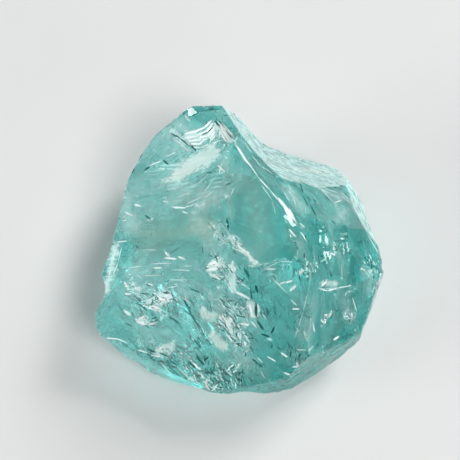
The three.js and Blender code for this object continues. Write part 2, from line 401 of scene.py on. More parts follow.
@dataclass(frozen=True)
class Cracks:
    """Open cracks of one kind.

    Args:
        width: How wide they gape, in millimetres.
        finish: How their walls are finished: white walls are painted highlights, dark walls painted shade.
        runs: The spots of the camera's view that each crack runs through.
    """

    width: float
    finish: Finish
    runs: tuple[tuple[Spot, ...], ...]


def bright(width: float, *runs: tuple[Spot, ...]) -> Cracks:
    """Returns cracks whose walls are painted white, as highlights and glints."""
    return Cracks(width, Finish(bruise_light_and_shade=2, rough=0.3), runs)


def dark(width: float, *runs: tuple[Spot, ...]) -> Cracks:
    """Returns cracks whose walls are painted dark, as shade."""
    return Cracks(width, PAINTED_SHADE, runs)


# Bright cracks have walls painted white as highlights and glints; dark ones are painted shade.
CRACKS = {
    # The crest's bright cracks are painted highlights along it.
    "crest": (
        bright(0.75, ((281, 201), (291, 216))),
        bright(0.45, ((237, 146), (248, 163))),
        bright(0.4, ((217, 122), (229, 141)), ((219, 121), (231, 139)), ((284, 206), (293, 224))),
        bright(0.35, ((289, 208), (297, 224))),
        bright(0.3, ((221, 121), (234, 137)), ((218, 126), (228, 143)), ((228, 136), (238, 150))),
        bright(0.18, ((245, 158), (259, 178), (270, 190), (283, 205))),
        bright(0.12, ((235, 122), (243, 140), (252, 155), (262, 167), (274, 174)),
            ((274, 174), (290, 176), (306, 182), (322, 187), (340, 194), (350, 204))),
        bright(0.1, ((262, 185), (272, 200), (276, 215))),
        bright(0.08, ((240, 132), (262, 147), (285, 158), (306, 166), (328, 180))),
        dark(0.3, ((216, 122), (219, 126))),
        dark(0.2, ((218, 120), (225, 128), (232, 138))),
    ),
    # The scoop's bright arcs are painted highlights on its rings.
    "scoop": (
        bright(0.32, ((185, 134), (195, 132), (205, 127), (211, 121)),
            ((186, 138), (197, 136), (207, 131), (213, 123)),
            ((188, 141), (199, 140), (209, 135), (215, 126)),
            ((190, 144), (200, 144), (210, 139), (216, 129))),
        bright(0.25, ((185, 115), (191, 122))),
        bright(0.2, ((192, 147), (200, 148), (209, 144), (217, 133))),
        bright(0.15, ((212, 149), (219, 140), (220, 129)), ((222, 150), (228, 143))),
        dark(0.25, ((190, 144), (196, 151))),
        dark(0.15, ((202, 135), (208, 132), (213, 127))),
    ),
    "north west": (
        bright(0.2, ((172, 138), (181, 144), (190, 152)), ((149, 166), (161, 161)),
            ((218, 165), (225, 172))),
        bright(0.15, ((176, 134), (185, 141), (193, 149)), ((165, 157), (176, 152)),
            ((222, 163), (219, 174))),
        bright(0.12, ((205, 198), (214, 190)), ((231, 195), (234, 188))),
        bright(0.08, ((210, 172), (198, 184)), ((214, 178), (204, 192))),
        dark(0.25, ((145, 170), (149, 167)), ((164, 161), (168, 164))),
        dark(0.2, ((172, 134), (180, 138), (188, 145), (196, 150))),
    ),
    "ledge": (
        bright(0.15, ((343, 193), (352, 205), (359, 218), (366, 231), (379, 256))),
        bright(0.1, ((332, 176), (346, 190), (358, 208), (366, 222))),
        bright(0.08, ((258, 152), (276, 164), (292, 168), (312, 174), (330, 184)),
            ((340, 190), (350, 200), (356, 213))),
        bright(0.07, ((246, 142), (266, 155), (284, 162), (302, 168)), ((266, 160), (280, 169), (300, 173)),
            ((338, 178), (350, 192), (361, 210))),
        dark(0.1, ((262, 167), (270, 173), (280, 176)), ((347, 183), (357, 197), (364, 214), (368, 228))),
    ),
    "west face": (
        bright(0.3, ((166, 253), (169, 256)), ((136, 205), (139, 206))),
        bright(0.25, ((165, 258), (176, 259)), ((179, 257), (184, 259))),
        bright(0.2, ((148, 220), (152, 219)), ((154, 268), (161, 268)), ((148, 284), (152, 285)),
            ((125, 212), (133, 216)), ((172, 207), (185, 208)), ((183, 212), (187, 213))),
        bright(0.15, ((163, 201), (168, 202))),
        bright(0.1, ((140, 250), (158, 250)), ((150, 264), (172, 263)), ((140, 276), (165, 275)),
            ((172, 270), (196, 271)), ((166, 279), (188, 280)), ((164, 289), (180, 286)),
            ((176, 198), (190, 192)), ((186, 204), (203, 196)), ((184, 208), (200, 202)),
            ((166, 190), (184, 186)), ((184, 266), (192, 266))),
        dark(0.25, ((146, 216), (150, 219))),
        dark(0.2, ((190, 289), (199, 292))),
    ),
    "west rim": (
        bright(0.15, ((118, 243), (112, 262), (108, 280), (106, 293)), ((117, 242), (127, 241))),
        bright(0.12, ((122, 246), (118, 262), (113, 276))),
    ),
    "centre edge": (
        bright(0.25, ((238, 246), (248, 254))),
        bright(0.2, ((246, 252), (257, 264))),
        bright(0.15, ((232, 236), (240, 244))),
        bright(0.12, ((226, 232), (238, 249), (250, 258)), ((218, 236), (228, 245)),
            ((230, 247), (242, 252))),
        bright(0.1, ((220, 222), (232, 238), (245, 252), (257, 264))),
        dark(0.3, ((227, 220), (228, 227))),
        dark(0.1, ((207, 222), (216, 232))),
    ),
    "south west": (
        bright(0.5, ((153, 307), (158, 309))),
        bright(0.4, ((158, 299), (164, 300))),
        bright(0.35, ((126, 312), (129, 314)), ((138, 322), (143, 324))),
        bright(0.3, ((125, 283), (128, 287)), ((144, 306), (150, 308)), ((162, 297), (170, 295)),
            ((140, 319), (143, 317)), ((150, 324), (155, 323))),
        bright(0.2, ((107, 338), (118, 339), (127, 343)), ((124, 292), (131, 295)),
            ((134, 288), (140, 291))),
        bright(0.12, ((181, 297), (190, 303))),
        bright(0.1, ((128, 268), (142, 266))),
        dark(0.3, ((153, 295), (157, 297)), ((197, 357), (203, 364))),
        dark(0.25, ((195, 341), (200, 347)), ((205, 360), (207, 358))),
        dark(0.22, ((184, 300), (189, 311), (194, 320), (201, 328), (205, 337), (212, 345))),
        dark(0.2, ((166, 314), (181, 324)), ((142, 293), (149, 294))),
        dark(0.15, ((187, 304), (191, 313), (196, 321)), ((183, 309), (190, 315))),
        dark(0.12, ((172, 318), (184, 330)), ((136, 303), (148, 311))),
        dark(0.1, ((150, 312), (160, 322))),
    ),
    "south": (
        bright(0.3, ((160, 349), (164, 345)), ((193, 364), (200, 369)), ((283, 354), (286, 356))),
        bright(0.25, ((228, 370), (233, 365)), ((285, 373), (291, 374))),
        bright(0.2, ((205, 383), (211, 391), (218, 383)), ((244, 354), (249, 350)),
            ((138, 350), (148, 353)), ((236, 369), (240, 364)), ((268, 357), (275, 361)),
            ((293, 367), (299, 366))),
        bright(0.15, ((150, 355), (160, 357)), ((262, 362), (258, 358))),
        bright(0.12, ((160, 362), (172, 374)), ((176, 366), (190, 380))),
        dark(0.35, ((188, 361), (194, 367))),
        dark(0.25, ((148, 349), (154, 352)), ((160, 353), (170, 357)), ((170, 360), (178, 366)),
            ((253, 360), (262, 366))),
        dark(0.12, ((168, 366), (182, 378))),
    ),
    "middle": (
        bright(0.45, ((250, 304), (253, 316))),
        bright(0.4, ((210, 264), (218, 262))),
        bright(0.35, ((236, 292), (251, 300)), ((208, 270), (216, 269))),
        bright(0.3, ((233, 262), (233, 272)), ((241, 324), (247, 325))),
        bright(0.25, ((258, 305), (259, 312)), ((213, 275), (219, 279)), ((229, 277), (233, 292)),
            ((226, 325), (234, 333)), ((227, 335), (232, 341))),
        bright(0.2, ((229, 321), (233, 324)), ((252, 322), (256, 327))),
        dark(0.35, ((256, 304), (256, 317))),
        dark(0.3, ((236, 314), (246, 319)), ((258, 322), (263, 329)), ((271, 334), (274, 328)),
            ((256, 287), (257, 291))),
        dark(0.25, ((262, 334), (269, 337))),
        dark(0.2, ((246, 270), (250, 277))),
        dark(0.12, ((243, 264), (252, 282)), ((262, 306), (268, 320)), ((246, 330), (258, 342)),
            ((221, 322), (232, 338), (240, 348))),
        dark(0.1, ((236, 262), (243, 272)), ((250, 285), (252, 300))),
    ),
    "shoulder": (
        bright(0.15, ((320, 187), (334, 203), (345, 198)), ((284, 192), (289, 201))),
        bright(0.12, ((283, 186), (292, 195), (296, 206)), ((288, 184), (294, 193))),
        dark(0.2, ((297, 182), (303, 195)), ((303, 196), (309, 207)), ((311, 205), (316, 216))),
    ),
    "east": (
        bright(0.3, ((291, 290), (295, 286))),
        bright(0.25, ((290, 230), (295, 236)), ((336, 243), (333, 250)), ((331, 254), (330, 258)),
            ((303, 270), (300, 274)), ((288, 282), (291, 281))),
        bright(0.2, ((300, 232), (306, 240)), ((307, 262), (304, 270)), ((266, 269), (275, 269)),
            ((280, 284), (285, 282)), ((293, 309), (298, 309))),
        bright(0.15, ((271, 277), (289, 296)), ((291, 300), (296, 305))),
        bright(0.12, ((262, 270), (280, 262), (294, 261)), ((342, 263), (337, 283))),
    ),
    "lower right": (
        bright(0.3, ((322, 286), (326, 282)), ((335, 339), (338, 337))),
        bright(0.2, ((318, 288), (328, 291), (338, 288), (351, 285)), ((313, 322), (315, 332))),
        bright(0.15, ((345, 290), (358, 294)), ((316, 346), (330, 356)), ((352, 297), (357, 312))),
        bright(0.12, ((315, 288), (326, 289), (343, 290)), ((296, 350), (306, 350), (314, 345))),
        bright(0.1, ((308, 292), (303, 312), (298, 328), (293, 343))),
    ),
}


@dataclass(frozen=True)
class Viewpoint:
    """Where the camera stands, in millimetres and degrees, and what it sees at a spot of its view."""

    aim: Point = (-0.9, 1.5, 8.0)
    lift: float = 70
    away: float = 126.5
    sight: float = 1100
    view_width: int = 460

    def back(self) -> Vector:
        """Returns the way from what the camera looks at to the camera."""
        lift = math.radians(self.lift)
        return Vector((0, -math.cos(lift), math.sin(lift)))

    def find(self, surface: BVHTree, spot: Spot) -> Vector:
        """Finds the place on the chunk at a spot of the view, or the nearest place if the spot misses it.

        Args:
            surface: The chunk's surface.
            spot: The spot, in pixels from the view's top left corner.

        Returns:
            The place, in millimetres.
        """
        back = self.back()
        right = Vector((1, 0, 0))
        middle = self.view_width / 2
        ray = right * (spot[0] - middle) + back.cross(right) * (middle - spot[1]) - back * self.sight
        eye = Vector(self.aim) + back * self.away
        ray.normalize()
        place = surface.ray_cast(eye, ray)[0]
        return place or surface.find_nearest(eye + ray * self.away)[0]


@dataclass(frozen=True)
class Scars:
    """The flake scars of one face, each a long shallow bowl."""

    face: Fracture
    phase: int
    field: float = 14
    stray: float = 20
    first_seed: int = 100
    smallest: float = 0.5
    largest: float = 1.3
    lean_across: float = 0.7
    lean_along: float = 0.3

    def depth(self, u: np.ndarray, v: np.ndarray) -> np.ndarray:
        """Gives how deep the scars go.

        Args:
            u: The place level along the face.
            v: The place up the face.

        Returns:
            The depth of the deepest scar at each place, and 0 between them.
        """
        how = self.face.how.value
        chance = np.random.RandomState(self.first_seed + self.phase)
        deepest = np.zeros_like(u)
        count = int(2 * min(self.field, self.face.reach) / how.pitch)
        for row in range(count):
            for column in range(count):
                astray = chance.uniform(-0.5, 0.5, 2)
                middle = (np.array((row, column)) + 0.5 - count / 2 + astray) * how.pitch
                turn = math.radians(self.face.grain + chance.normal(0, self.stray))
                size = chance.uniform(self.smallest, self.largest)
                x, y = u - middle[0], v - middle[1]
                along = (x * math.cos(turn) + y * math.sin(turn)) / (how.length * size)
                across = (y * math.cos(turn) - x * math.sin(turn)) / (how.width * size)
                lean = chance.uniform(-self.lean_across, self.lean_across) * across
                lean = lean + chance.uniform(-self.lean_along, self.lean_along) * along
                bowl = how.depth * size * (1 + lean - along**2 - across**2)
                np.maximum(deepest, bowl, out=deepest)
        return deepest


@dataclass(frozen=True)
class Rings:
    """The rings of the scoop at the top, of which only the lower halves show. Lengths are in millimetres."""

    middle: tuple[float, float] = (0.2, 1.4)
    pitch: float = 0.3
    height: float = 0.045
    stretch: float = 0.65
    start: float = 1.0
    lobes: int = 3
    unevenness: float = 0.5

    def depth(self, u: np.ndarray, v: np.ndarray) -> np.ndarray:
        """Gives how deep the rings go.

        Args:
            u: The place level along the face.
            v: The place up the face.

        Returns:
            The depths.
        """
        x, y = u - self.middle[0], (v - self.middle[1]) * self.stretch
        distance = np.hypot(x, y)
        uneven = self.unevenness * np.sin(self.lobes * np.arctan2(y, x))
        rings = np.abs(np.sin(math.pi * distance / self.pitch + uneven))
        lower = np.clip(2 * y / distance, 0, 1)
        return self.height * rings * lower * np.clip(2 * (distance - self.start), 0, 1)


class Cut(Enum):
    """The ways in which one mesh cuts another."""

    AWAY = "DIFFERENCE"
    TO_COMMON = "INTERSECT"


def cut(piece: bpy.types.Object, tools: list[bpy.types.Object], how: Cut = Cut.AWAY) -> None:
    """Cuts a piece with other meshes, and removes them. The piece is the active object afterwards.

    Args:
        piece: The piece that is kept.
        tools: The meshes that cut it.
        how: What of the piece they leave.
    """
    shelf = bpy.data.collections.new("tools")
    for tool in tools:
        bpy.context.collection.objects.unlink(tool)
        shelf.objects.link(tool)
    bpy.ops.object.select_all(action="DESELECT")
    piece.select_set(True)
    bpy.context.view_layer.objects.active = piece
    boolean = piece.modifiers.new("cut", "BOOLEAN")
    boolean.operation = how.value
    boolean.solver = "MANIFOLD"
    boolean.operand_type = "COLLECTION"
    boolean.collection = shelf
    bpy.ops.object.modifier_apply(modifier=boolean.name)
    for tool in tools:
        bpy.data.meshes.remove(tool.data)
    bpy.data.collections.remove(shelf)


def surface_of(chunk: bpy.types.Object) -> BVHTree:
    """Reads a chunk's surface, to find places on it.

    Args:
        chunk: The chunk, in millimetres.

    Returns:
        The surface.
    """
    shape = bmesh.new()
    shape.from_mesh(chunk.data)
    surface = BVHTree.FromBMesh(shape)
    shape.free()
    return surface


def places_of(mesh: bpy.types.Mesh) -> np.ndarray:
    """Reads where the vertices of a mesh lie.

    Args:
        mesh: The mesh.

    Returns:
        Their places, a row for each.
    """
    places = np.empty(len(mesh.vertices) * 3)
    mesh.vertices.foreach_get("co", places)
    return places.reshape(-1, 3)


def corners_of(mesh: bpy.types.Mesh) -> np.ndarray:
    """Reads which vertex each corner of a mesh is on.

    Args:
        mesh: The mesh.

    Returns:
        The numbers of the vertices.
    """
    corners = np.empty(len(mesh.loops), dtype=np.int32)
    mesh.loops.foreach_get("vertex_index", corners)
    return corners


def paint(mesh: bpy.types.Mesh, name: str, values: np.ndarray) -> None:
    """Writes four values for each vertex of a mesh onto it, as a new colour attribute."""
    layer = mesh.attributes.new(name, "FLOAT_COLOR", "CORNER")
    layer.data.foreach_set("color", values[corners_of(mesh)].ravel())


def dress(piece: bpy.types.Object, grain: np.ndarray, finish: Finish) -> None:
    """Writes a piece's grain and finish onto it, for the face that it leaves behind.

    Args:
        piece: The piece.
        grain: Each vertex's place along and across the grain.
        finish: How it is finished.
    """
    mesh = piece.data
    while mesh.uv_layers:
        mesh.uv_layers.remove(mesh.uv_layers[0])
    mesh.uv_layers.new(name="grain").data.foreach_set("uv", grain[corners_of(mesh)].ravel())
    values = (finish.hackle, finish.ripple, finish.bruise_light_and_shade, finish.rough)
    paint(mesh, "finish", np.tile(values, (len(mesh.vertices), 1)))


def flat(u: np.ndarray, v: np.ndarray) -> np.ndarray:
    """Returns the height of a flat face at each place on it, which is 0."""
    return np.zeros_like(u)


@dataclass(frozen=True)
class Slab:
    """A slab whose inner side is a broken face. Lengths are in millimetres.

    Args:
        reach: Its half width.
        thickness: How thick it is.
        height: How far the broken face stands out at a place on it.
        axes: Where the slab lies.
        finish: How the broken face is finished.
        grain: How the grain runs, in degrees.
        cuts: How many cuts divide the inner side, twice over.
        crowding: The share of a wide slab's width that its divisions keep at the middle.
    """

    reach: float
    thickness: float
    height: Height
    axes: Matrix
    finish: Finish
    grain: float = 0
    cuts: int = 0
    crowding: float = 0.4

    def build(self) -> bpy.types.Object:
        """Makes the slab.

        Returns:
            The slab, a closed mesh.
        """
        slab = self._divided_box()
        places = places_of(slab.data)
        if self.reach > SHORT_REACH:
            places[:, :2] *= self.crowding + (1 - self.crowding) * (places[:, :2] / self.reach) ** 2
        u, v = places[:, 0], places[:, 1]
        inner = places[:, 2] < self.thickness / 2
        places[inner, 2] = self.height(u[inner], v[inner])
        slab.data.vertices.foreach_set("co", places.ravel())
        turn = math.radians(self.grain)
        along = u * math.cos(turn) + v * math.sin(turn)
        across = v * math.cos(turn) - u * math.sin(turn)
        dress(slab, np.stack((along, across), axis=1), self.finish)
        slab.data.transform(self.axes)
        slab.data.update()
        return slab

    def _divided_box(self) -> bpy.types.Object:
        """Makes a box with its lower side divided into small squares.

        Returns:
            The box.
        """
        bpy.ops.object.select_all(action="DESELECT")
        bpy.ops.mesh.primitive_cube_add(size=1)
        box = bpy.context.object
        size = Matrix.Diagonal((2 * self.reach, 2 * self.reach, self.thickness, 1))
        box.data.transform(Matrix.Translation((0, 0, self.thickness / 2)) @ size)
        bpy.ops.object.mode_set(mode="EDIT")
        bpy.ops.mesh.select_mode(type="FACE")
        shape = bmesh.from_edit_mesh(box.data)
        for face in shape.faces:
            face.select_set(face.normal.z < -0.5)
        bmesh.update_edit_mesh(box.data)
        if self.cuts:
            bpy.ops.mesh.subdivide(number_cuts=self.cuts)
            bpy.ops.mesh.subdivide(number_cuts=self.cuts)
        bpy.ops.object.mode_set(mode="OBJECT")
        return box


@dataclass(frozen=True)
class Flake:
    """The flake that a fracture takes away. Lengths are in millimetres.

    Its phase is the fracture's number, which sets where its waves start and where its scars lie. The upward
    and slanting waves turn that many times as fast as the level ones.
    """

    fracture: Fracture
    phase: int = 0
    thickness: float = 30
    short_thickness: float = 5
    wobble_length: float = 13
    upward_wobble: float = 0.8
    slanting_wobble: float = 0.6

    def build(self) -> bpy.types.Object:
        """Makes the flake.

        Returns:
            The flake, a closed mesh.
        """
        face, how = self.fracture, self.fracture.how.value
        axes = face.axes()
        if face is REST:
            return Slab(face.reach, self.thickness, flat, axes, how.finish).build()
        thickness = self.short_thickness if face.reach < SHORT_REACH else self.thickness
        flake = Slab(face.reach, thickness, self._height, axes, how.finish, face.grain, how.cuts).build()
        if face.meets:
            cut(flake, [Flake(face.meets, self.phase).build()], Cut.TO_COMMON)
        return flake

    def relief(self, u: np.ndarray, v: np.ndarray) -> np.ndarray:
        """Gives how far the broken face stands out, but for its scars.

        Args:
            u: The place level along the face.
            v: The place up the face.

        Returns:
            The heights: the bowl and its slow waves.
        """
        k = 2 * math.pi / self.wobble_length
        level = np.sin(k * u + self.phase)
        upward = np.sin(self.upward_wobble * k * v + 2 * self.phase)
        slanting = np.sin(self.slanting_wobble * k * (u - v) + 3 * self.phase)
        waves = level + upward + slanting
        return (u * u + v * v) / (2 * self.fracture.bowl) + self.fracture.wobble / 2 * waves

    def _height(self, u: np.ndarray, v: np.ndarray) -> np.ndarray:
        """Returns how far the broken face stands out, with its scars or rings."""
        scars = Rings() if self.fracture.how is RINGED else Scars(self.fracture, self.phase)
        return self.relief(u, v) - scars.depth(u, v)


@dataclass(frozen=True)
class Chip:
    """One of a face's chips: a long gouge, sunk into the face and tilted. Lengths are in millimetres.

    Each chip lies one golden angle further round the face than the one before. Turns are radians of a wave
    for each millimetre.
    """

    flake: Flake
    index: int
    reach: float = 5
    thickness: float = 5
    cuts: int = 6
    golden_angle: float = 137.5
    depth: float = 0.42
    unevenness: float = 0.5
    tilt: float = 10
    stray: float = 24
    lengthwise_bowl: float = 13
    crosswise_bowl: float = 3
    deepest: float = 4.5
    flute_height: float = 0.035
    flute_turns: float = 5.5
    flute_bends: float = 0.8
    flute_bend_turns: float = 0.9
    flute_fade_turns: float = 0.5

    def build(self) -> bpy.types.Object:
        """Makes the chip.

        Returns:
            The chip, a closed mesh.
        """
        face, index = self.flake.fracture, self.index
        turn = math.radians(self.golden_angle * index)
        radius = face.spread * math.sqrt((index + 0.5) / face.chips)
        u, v = radius * math.cos(turn), radius * math.sin(turn)
        depth = self.depth * (1 + self.unevenness * math.sin(5 * index))
        sunk = float(self.flake.relief(np.array(u), np.array(v))) - depth
        grain = math.radians(face.grain + self.stray * math.sin(4 * index))
        tilt = math.radians(self.tilt)
        axes = face.axes() @ Matrix.Translation((u, v, sunk)) @ Matrix.Rotation(grain, 4, "Z")
        axes = axes @ Matrix.Rotation(tilt * math.sin(2 * index), 4, "X")
        axes = axes @ Matrix.Rotation(tilt / 2 * math.cos(3 * index), 4, "Y")
        finish = face.how.value.finish
        return Slab(self.reach, self.thickness, self._height, axes, finish, cuts=self.cuts).build()

    def _height(self, x: np.ndarray, y: np.ndarray) -> np.ndarray:
        """Gives the gouge's bowl, with fine flutes along it.

        Args:
            x: The place along the gouge.
            y: The place across it.

        Returns:
            The heights.
        """
        bends = self.flute_bends * np.sin(self.flute_bend_turns * x + self.index)
        fading = np.cos(self.flute_fade_turns * x)
        flutes = self.flute_height * np.sin(self.flute_turns * y + bends) * fading
        bowl = x * x / (2 * self.lengthwise_bowl) + y * y / (2 * self.crosswise_bowl)
        return np.minimum(bowl + flutes, self.deepest)


@dataclass(frozen=True)
class Nick:
    """A nick in a ridge, a short shell with ripples across it. Lengths are in millimetres.

    Its axes have x along the ridge and z out of it, and its size is 1 for a full one.
    """

    axes: Matrix
    size: float
    reach: float = 1.6
    cuts: int = 4
    lengthwise_bowl: float = 0.8
    crosswise_bowl: float = 1.6
    deepest: float = 1.28
    ripple: float = 0.02
    ripple_turns: float = 14

    def build(self) -> bpy.types.Object:
        """Returns the nick, a closed mesh."""
        finish = RIPPLED.value.finish
        return Slab(self.reach, self.reach, self._height, self.axes, finish, cuts=self.cuts).build()

    def _height(self, x: np.ndarray, y: np.ndarray) -> np.ndarray:
        """Gives the shell, with its ripples.

        Args:
            x: The place along the ridge.
            y: The place across it.

        Returns:
            The heights.
        """
        ripples = self.ripple * np.sin(self.ripple_turns * y / self.size)
        bowl = x * x / (2 * self.lengthwise_bowl) + y * y / (2 * self.crosswise_bowl)
        return np.minimum(bowl / self.size + ripples, self.deepest)


@dataclass(frozen=True)
class NickedRidges:
    """The nicks that the sharp ridges have lost, no two of them close together.

    Sizes and leans are the least and the most. Lengths are in millimetres and angles in degrees.
    """

    count: int = 110
    seed: int = 7
    ridge_angle: float = 30
    lowest: float = 1
    gap: float = 1.1
    depth: float = 0.13
    sizes: tuple[float, float] = (0.4, 1.2)
    leans: tuple[float, float] = (15, 40)

    def build(self, chunk: bpy.types.Object) -> list[bpy.types.Object]:
        """Makes the nicks.

        Args:
            chunk: The chunk, with its ridges still sharp.

        Returns:
            The nicks, each a closed mesh.
        """
        shape = bmesh.new()
        shape.from_mesh(chunk.data)
        limit = math.radians(self.ridge_angle)
        ridges = [edge for edge in shape.edges if edge.is_manifold and edge.calc_face_angle_signed() > limit]
        chance = np.random.RandomState(self.seed)
        places: list[Vector] = []
        nicks = []
        for which in chance.permutation(len(ridges)):
            edge = ridges[which]
            middle = (edge.verts[0].co + edge.verts[1].co) / 2
            if len(nicks) >= self.count:
                break
            if middle.z < self.lowest or any((middle - place).length < self.gap for place in places):
                continue
            places.append(middle)
            along = (edge.verts[1].co - edge.verts[0].co).normalized()
            out = (edge.link_faces[0].normal + edge.link_faces[1].normal).normalized()
            axes = Matrix((along, out.cross(along), out)).transposed().to_4x4()
            size = chance.uniform(*self.sizes)
            side = 1 if chance.uniform() < 0.5 else -1
            lean = Matrix.Rotation(math.radians(side * chance.uniform(*self.leans)), 4, "X")
            axes = Matrix.Translation(middle - out * self.depth * size) @ axes @ lean
            nicks.append(Nick(axes, size).build())
        shape.free()
        return nicks


@dataclass
class OpenCracks:
    """The small open cracks: the single ones, those in clusters and those strewn over rough faces.

    Lengths are in millimetres. The bright cracks are those whose walls are painted white, as highlights and
    glints, and the others have walls painted dark, as shade. Those strewn over a face keep to the part of it
    that is left, by lying close to the surface.
    """

    surface: BVHTree
    seed: int = 11
    crowd: float = 6
    crowd_spread: float = 0.4
    strewn_reach: float = 9
    strewn_gap: float = 0.4
    bright_cluster: float = 0.5
    bright_strewn: float = 0.3
    bright_gape: float = 1.25
    bright_shortening: tuple[float, float] = (0.3, 0.9)
    # How white the walls of bright cracks are painted, as highlights.
    bright_wall_light: tuple[float, float] = (1.3, 2)
    bright_rough: float = 0.3
    shortest: float = 0.25
    usual_extra: float = 0.45
    longest: float = 2.2
    gapes: tuple[float, float] = (0.04, 0.16)
    gape_start: float = 0.6
    gape_closing: float = 0.5
    stray: float = 0.4
    depth: float = 0.25
    deepening: float = 1
    sides: int = 6
    rings: int = 3

    def __post_init__(self) -> None:
        """Starts the random draws, and makes the hollow that each crack is a copy of."""
        self.chance = np.random.RandomState(self.seed)
        bpy.ops.object.select_all(action="DESELECT")
        bpy.ops.mesh.primitive_uv_sphere_add(segments=self.sides, ring_count=self.rings, radius=0.5)
        self.hollow = bpy.context.object
        self.hollow.data.transform(Matrix.Rotation(math.pi / 2, 4, "Y"))

    def build(self) -> list[bpy.types.Object]:
        """Makes all the cracks.

        Returns:
            Their hollows, each a closed mesh.
        """
        view = Viewpoint()
        ends = [(view.find(self.surface, mark.start), view.find(self.surface, mark.end)) for mark in MARKS]
        hollows = self._single(view) + self._clustered(ends) + self._strewn(ends)
        bpy.data.meshes.remove(self.hollow.data)
        return hollows

    def _single(self, view: Viewpoint) -> list[bpy.types.Object]:
        """Makes the single cracks.

        Args:
            view: The view that their spots are in.

        Returns:
            Their hollows.
        """
        hollows = []
        for cracks in chain.from_iterable(CRACKS.values()):
            for run in cracks.runs:
                places = [view.find(self.surface, spot) for spot in run]
                for start, end in pairwise(places):
                    hollows.append(self._hollow(start, end, cracks.width, cracks.finish))
        return hollows

    def _clustered(self, ends: list[tuple[Vector, Vector]]) -> list[bpy.types.Object]:
        """Makes the clusters along the glinting marks.

        Args:
            ends: Where each mark starts and ends.

        Returns:
            The hollows of their cracks.
        """
        hollows = []
        for mark, (start, end) in zip(MARKS, ends):
            crowd = mark.glint * self.crowd * mark.width * ((end - start).length + mark.width)
            for _ in range(round(crowd)):
                middle = start.lerp(end, self.chance.uniform())
                middle = middle + Vector(self.chance.normal(0, mark.width * self.crowd_spread, 3))
                hollows.append(self._stray(middle, end - start, self.bright_cluster))
        return hollows

    def _strewn(self, ends: list[tuple[Vector, Vector]]) -> list[bpy.types.Object]:
        """Makes the cracks that are strewn over the faces, but not over the calm marks.

        Args:
            ends: Where each mark starts and ends.

        Returns:
            The hollows of the cracks.
        """
        hollows = []
        for face in FRACTURES:
            side = min(face.reach, self.strewn_reach)
            axes = face.axes()
            turn = math.radians(face.grain)
            along = axes.to_3x3() @ Vector((math.cos(turn), math.sin(turn), 0))
            for _ in range(face.how.value.splits):
                u, v = self.chance.uniform(-side, side, 2)
                middle = axes @ Vector((u, v, (u * u + v * v) / (2 * face.bowl)))
                place = np.array([middle])
                calm = max(mark.calm * mark.share(place, *pair)[0] for mark, pair in zip(MARKS, ends))
                gap = self.surface.find_nearest(middle)[3]
                if gap < self.strewn_gap and self.chance.uniform() > calm:
                    hollows.append(self._stray(middle, along, self.bright_strewn))
        return hollows

    def _stray(self, middle: Vector, along: Vector, bright: float) -> bpy.types.Object:
        """Makes an open crack of a random size, roughly along a line.

        Args:
            middle: A point near its middle.
            along: The line.
            bright: How likely it is bright, from 0 to 1, with walls painted white as a highlight. The others
            are painted dark, as shade.

        Returns:
            The hollow of the crack.
        """
        chance = self.chance
        length = min(self.shortest + self.usual_extra * chance.exponential(), self.longest)
        width = chance.uniform(*self.gapes) / (self.gape_start + self.gape_closing * length)
        finish = PAINTED_SHADE
        if chance.uniform() < bright:
            length *= chance.uniform(*self.bright_shortening)
            width *= self.bright_gape
            finish = Finish(bruise_light_and_shade=chance.uniform(*self.bright_wall_light), rough=self.bright_rough)
        run = (along.normalized() + Vector(chance.normal(0, self.stray, 3))).normalized() * length
        return self._hollow(middle - run / 2, middle + run / 2, width, finish)

    def _hollow(self, start: Vector, end: Vector, width: float, finish: Finish) -> bpy.types.Object:
        """Makes the hollow of one open crack, which is slim and tapers to its ends.

        Args:
            start: Where it starts.
            end: Where it ends.
            width: How wide it gapes.
            finish: How its walls are finished.

        Returns:
            The hollow, a closed mesh.
        """
        middle, out = self.surface.find_nearest((start + end) / 2)[:2]
        run = end - start
        along = (run - out * run.dot(out)).normalized()
        axes = Matrix((along, out.cross(along), out)).transposed().to_4x4()
        depth = self.depth + self.deepening * width
        size = Matrix.Diagonal((run.length + 2 * width, width, depth, 1))
        hollow = self.hollow.copy()
        hollow.data = self.hollow.data.copy()
        bpy.context.collection.objects.link(hollow)
        hollow.data.transform(Matrix.Translation(middle) @ axes @ size)
        dress(hollow, np.zeros((len(hollow.data.vertices), 2)), finish)
        return hollow


